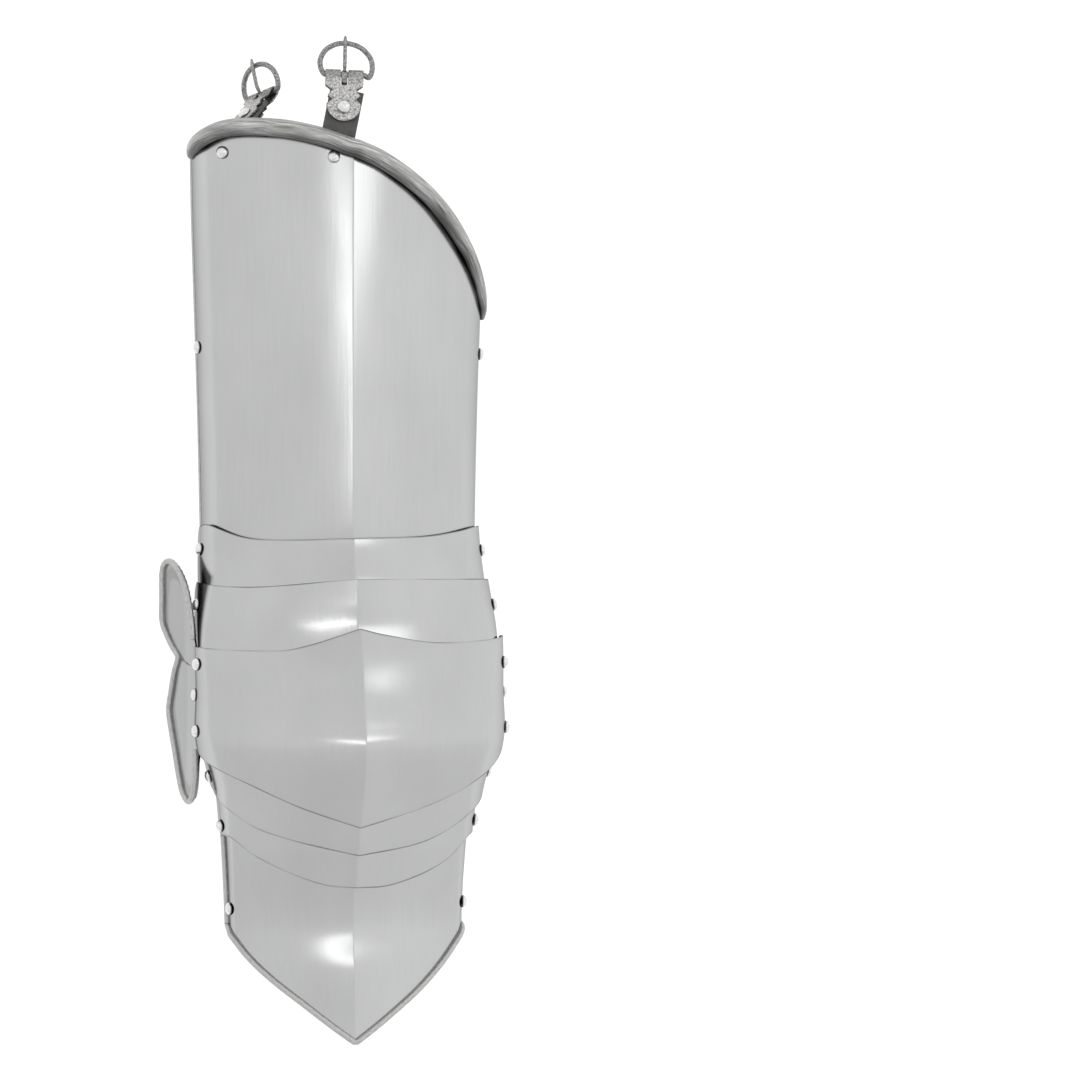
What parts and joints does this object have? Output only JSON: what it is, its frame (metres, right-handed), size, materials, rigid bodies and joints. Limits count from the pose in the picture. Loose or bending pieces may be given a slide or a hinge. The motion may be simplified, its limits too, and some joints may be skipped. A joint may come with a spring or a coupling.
{
  "type": "cuisse with poleyn",
  "caption": "Plate defence for thigh and knee: ridged thigh plate with rolled hip edge, articulated winged knee cop, short pointed shin plate, hip hanger buckles and leg straps.",
  "frame": {"origin": "under the middle of the whole piece's bounding box, on the surface it lies on", "axes": "+Y along the leg towards the hip, +Z out of the front of the leg (up as it lies on its open back), +X towards the inner side of the leg; the knee's wing is on -X"},
  "size_m": [0.2162, 0.6318, 0.1079],
  "materials": {
    "steel_plate": "satin polished steel sheet",
    "rivet": "domed polished steel rivets",
    "dark_steel": "pitted antique steel hardware",
    "leather": "plain black leather, lightly grained"
  },
  "bodies": {
    "thigh": {"thigh_plate": "steel_plate", "thigh_strap": "leather", "thigh_strap_slide": "dark_steel", "thigh_strap_rivet_outer": "rivet", "thigh_strap_rivet_inner": "rivet", "pivot_rivet_1_outer": "rivet", "pivot_rivet_1_inner": "rivet", "front_hanger_tab": "leather", "front_hanger_chape": "dark_steel", "front_hanger_rivet": "rivet", "front_chape_rivet": "rivet", "side_hanger_tab": "leather", "side_hanger_chape": "dark_steel", "side_hanger_rivet": "rivet", "side_chape_rivet": "rivet"},
    "upper_lame_1": {"upper_lame_1": "steel_plate", "pivot_rivet_2_outer": "rivet", "pivot_rivet_2_inner": "rivet"},
    "upper_lame_2": {"upper_lame_2": "steel_plate", "pivot_rivet_3_outer": "rivet", "pivot_rivet_3_inner": "rivet"},
    "knee": {"knee_cop": "steel_plate", "knee_strap": "leather", "knee_strap_slide": "dark_steel", "knee_strap_rivet_outer": "rivet", "knee_strap_rivet_inner": "rivet", "pivot_rivet_4_outer": "rivet", "pivot_rivet_4_inner": "rivet"},
    "lower_lame_1": {"lower_lame_1": "steel_plate", "pivot_rivet_5_outer": "rivet", "pivot_rivet_5_inner": "rivet"},
    "lower_lame_2": {"lower_lame_2": "steel_plate", "pivot_rivet_6_outer": "rivet", "pivot_rivet_6_inner": "rivet"},
    "shin": {"shin_plate": "steel_plate", "calf_strap": "leather", "calf_strap_slide": "dark_steel", "calf_strap_rivet_outer": "rivet", "calf_strap_rivet_inner": "rivet"},
    "front_ring": {"front_hanger_ring": "dark_steel"},
    "front_prong": {"front_hanger_prong": "dark_steel"},
    "side_ring": {"side_hanger_ring": "dark_steel"},
    "side_prong": {"side_hanger_prong": "dark_steel"}
  },
  "joints": [
    {"name": "articulation_1", "type": "hinge", "parent": "thigh", "child": "upper_lame_1", "pos_m": [0.00713, -0.00747, 0.01897], "axis": [1, 0, 0], "range_deg": [-4, 16]},
    {"name": "articulation_2", "type": "hinge", "parent": "upper_lame_1", "child": "upper_lame_2", "pos_m": [0.00713, -0.04277, 0.03697], "axis": [1, 0, 0], "range_deg": [-4, 15]},
    {"name": "articulation_3", "type": "hinge", "parent": "upper_lame_2", "child": "knee", "pos_m": [0.00713, -0.07917, 0.05797], "axis": [1, 0, 0], "range_deg": [-4, 20]},
    {"name": "articulation_4", "type": "hinge", "parent": "knee", "child": "lower_lame_1", "pos_m": [0.00713, -0.12017, 0.05997], "axis": [1, 0, 0], "range_deg": [0, 20]},
    {"name": "articulation_5", "type": "hinge", "parent": "lower_lame_1", "child": "lower_lame_2", "pos_m": [0.00713, -0.14867, 0.04897], "axis": [1, 0, 0], "range_deg": [-4, 20]},
    {"name": "articulation_6", "type": "hinge", "parent": "lower_lame_2", "child": "shin", "pos_m": [0.00713, -0.17987, 0.04547], "axis": [1, 0, 0], "range_deg": [-4, 20]},
    {"name": "front_ring_hinge", "type": "hinge", "parent": "thigh", "child": "front_ring", "pos_m": [0.00205, 0.29192, 0.05377], "axis": [0.99, -0.0198, 0.14], "range_deg": [-60, 60]},
    {"name": "front_prong_hinge", "type": "hinge", "parent": "front_ring", "child": "front_prong", "pos_m": [0.00205, 0.29192, 0.05377], "axis": [0.99, -0.0198, 0.14], "range_deg": [0, 60]},
    {"name": "side_ring_hinge", "type": "hinge", "parent": "thigh", "child": "side_ring", "pos_m": [-0.04457, 0.28344, 0.01706], "axis": [0.524, 0.1291, 0.8419], "range_deg": [-82, 10]},
    {"name": "side_prong_hinge", "type": "hinge", "parent": "side_ring", "child": "side_prong", "pos_m": [-0.04457, 0.28344, 0.01706], "axis": [0.524, 0.1291, 0.8419], "range_deg": [0, 60]}
  ]
}
